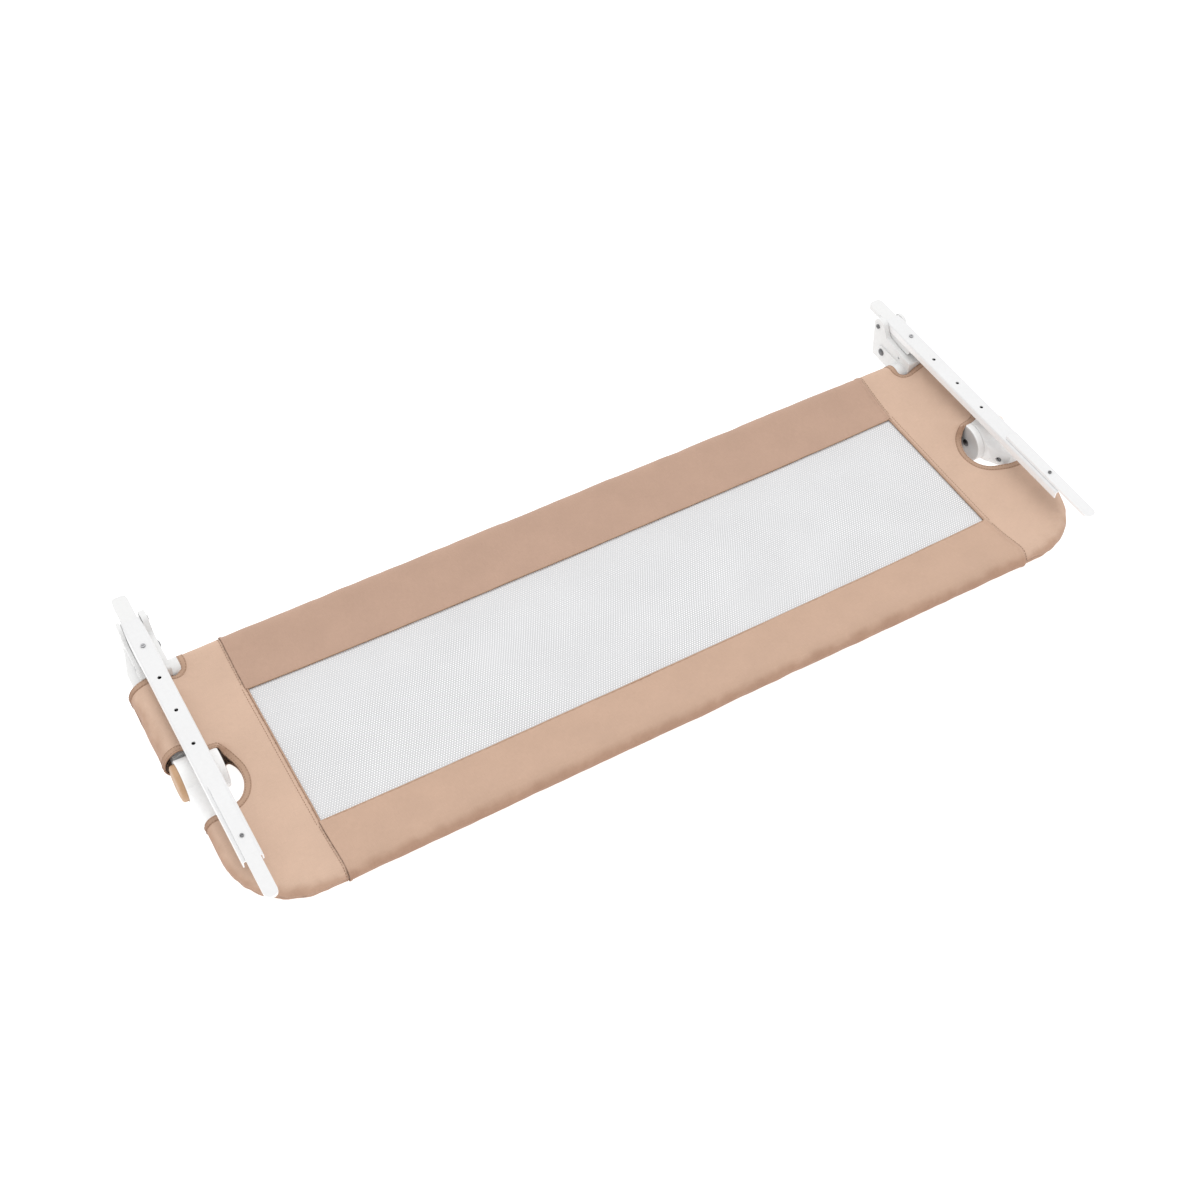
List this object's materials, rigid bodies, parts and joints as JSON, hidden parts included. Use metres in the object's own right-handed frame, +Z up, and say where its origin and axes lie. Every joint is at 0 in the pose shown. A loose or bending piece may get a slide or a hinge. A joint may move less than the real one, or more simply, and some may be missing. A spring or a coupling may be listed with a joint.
{
  "type": "folding bed guard rail",
  "caption": "Folding bed guard rail: fabric-covered tube frame with a mesh window, swing-down hinges with push buttons, and folding base arms that go under a mattress.",
  "frame": {"origin": "bottom centre of the bounding box, with the rail lying flat and both base arms folded onto it", "axes": "+X along the rail, +Y towards the edge that is the bottom in use, +Z up, away from the outer side, on the side of the folded arms"},
  "size_m": [1.2118, 0.48, 0.0807],
  "materials": {
    "beige_cloth": "plain woven polyester, matt",
    "white_net": "fine knitted net",
    "white_paint": "powder coat, satin",
    "white_plastic": "moulded, fine satin",
    "tan_plastic": "moulded, satin",
    "zinc": "zinc plated"
  },
  "bodies": {
    "lower_frame": {"lower_cross_tube": "white_paint", "lower_post_left": "white_paint", "lower_post_right": "white_paint", "bracket_inner_shell_left": "white_plastic", "bracket_inner_shell_right": "white_plastic", "bracket_outer_shell_left": "white_plastic", "bracket_outer_shell_right": "white_plastic", "bracket_screw_top_left": "zinc", "bracket_screw_top_right": "zinc", "bracket_screw_web_left": "zinc", "bracket_screw_web_right": "zinc", "arm_pivot_bolt_left": "zinc", "arm_pivot_bolt_right": "zinc", "hinge_lower_half_left": "white_plastic", "hinge_lower_half_right": "white_plastic", "hinge_bolt_left": "zinc", "hinge_bolt_right": "zinc", "hinge_nut_left": "zinc", "hinge_nut_right": "zinc", "cover_band_lower": "beige_cloth", "cover_end_lower_left": "beige_cloth", "cover_end_lower_right": "beige_cloth", "mesh_panel_lower": "white_net"},
    "upper_frame": {"upper_u_tube": "white_paint", "hinge_upper_half_left": "white_plastic", "hinge_upper_half_right": "white_plastic", "hinge_neck_screw_left": "zinc", "hinge_neck_screw_right": "zinc", "hinge_spring_left": "zinc", "hinge_spring_right": "zinc", "cover_band_upper": "beige_cloth", "cover_end_upper_left": "beige_cloth", "cover_end_upper_right": "beige_cloth", "mesh_panel_upper": "white_net"},
    "arm_left": {"arm_channel_left": "white_paint", "arm_knuckle_left": "white_plastic", "arm_screw_left": "zinc", "arm_release_spring_left": "zinc"},
    "extension_left": {"extension_strip_left": "white_paint", "extension_screw_left": "zinc", "extension_clamp_plate_left": "zinc"},
    "release_left": {"arm_release_tab_left": "white_plastic"},
    "button_left": {"hinge_lock_drum_left": "zinc", "hinge_button_left": "tan_plastic"},
    "arm_right": {"arm_channel_right": "white_paint", "arm_knuckle_right": "white_plastic", "arm_screw_right": "zinc", "arm_release_spring_right": "zinc"},
    "extension_right": {"extension_strip_right": "white_paint", "extension_screw_right": "zinc", "extension_clamp_plate_right": "zinc"},
    "release_right": {"arm_release_tab_right": "white_plastic"},
    "button_right": {"hinge_lock_drum_right": "zinc", "hinge_button_right": "tan_plastic"}
  },
  "joints": [
    {"name": "swing_down", "type": "hinge", "parent": "lower_frame", "child": "upper_frame", "pos_m": [0, -0.02, 0.027], "axis": [1, 0, 0], "range_deg": [0, 105]},
    {"name": "arm_fold_left", "type": "hinge", "parent": "lower_frame", "child": "arm_left", "pos_m": [-0.568, 0.181, 0.031], "axis": [-1, 0, 0], "range_deg": [0, 90]},
    {"name": "extension_slide_left", "type": "slide", "parent": "arm_left", "child": "extension_left", "axis": [0, 1, 0], "range_m": [0, 0.055]},
    {"name": "release_pull_left", "type": "slide", "parent": "arm_left", "child": "release_left", "axis": [0, 1, 0], "range_m": [0, 0.006], "stiffness_N_per_m": 500, "springref_m": -0.003, "deforming": ["arm_release_spring_left"]},
    {"name": "button_press_left", "type": "slide", "parent": "upper_frame", "child": "button_left", "axis": [1, 0, 0], "range_m": [0, 0.004], "stiffness_N_per_m": 1200, "springref_m": -0.004, "deforming": ["hinge_spring_left"]},
    {"name": "arm_fold_right", "type": "hinge", "parent": "lower_frame", "child": "arm_right", "pos_m": [0.568, 0.181, 0.031], "axis": [-1, 0, 0], "range_deg": [0, 90]},
    {"name": "extension_slide_right", "type": "slide", "parent": "arm_right", "child": "extension_right", "axis": [0, 1, 0], "range_m": [0, 0.055]},
    {"name": "release_pull_right", "type": "slide", "parent": "arm_right", "child": "release_right", "axis": [0, 1, 0], "range_m": [0, 0.006], "stiffness_N_per_m": 500, "springref_m": -0.003, "deforming": ["arm_release_spring_right"]},
    {"name": "button_press_right", "type": "slide", "parent": "upper_frame", "child": "button_right", "axis": [-1, 0, 0], "range_m": [0, 0.004], "stiffness_N_per_m": 1200, "springref_m": -0.004, "deforming": ["hinge_spring_right"]}
  ]
}
